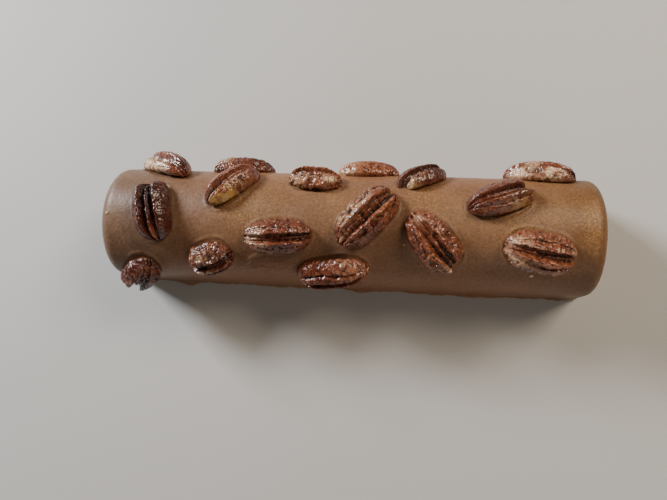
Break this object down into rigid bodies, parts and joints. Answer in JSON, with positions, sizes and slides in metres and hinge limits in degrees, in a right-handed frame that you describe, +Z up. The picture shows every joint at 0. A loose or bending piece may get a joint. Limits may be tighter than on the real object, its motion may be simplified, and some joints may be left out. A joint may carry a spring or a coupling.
{
  "type": "carrot cake",
  "caption": "Half-round loaf cake under a satin milk chocolate coat dusted with gold lustre, with whole pecan halves pressed in at odd angles over the top and shoulders.",
  "frame": {"origin": "middle of the flat base, on the surface that the cake stands on", "axes": "+X along the log, +Y towards the back, +Z up"},
  "size_m": [0.24, 0.0706, 0.0591],
  "materials": {
    "chocolate_coat": "satin milk chocolate, dusted with fine gold lustre on what faces up",
    "pecan_skin": "glazed red-brown pecan skin, wrinkled, near black in the grooves"
  },
  "bodies": {
    "root": {"cake": "chocolate_coat", "pecan_01": "pecan_skin", "pecan_02": "pecan_skin", "pecan_03": "pecan_skin", "pecan_04": "pecan_skin", "pecan_05": "pecan_skin", "pecan_06": "pecan_skin", "pecan_07": "pecan_skin", "pecan_08": "pecan_skin", "pecan_09": "pecan_skin", "pecan_10": "pecan_skin", "pecan_11": "pecan_skin", "pecan_12": "pecan_skin", "pecan_13": "pecan_skin", "pecan_14": "pecan_skin", "pecan_15": "pecan_skin", "pecan_16": "pecan_skin"}
  },
  "joints": []
}
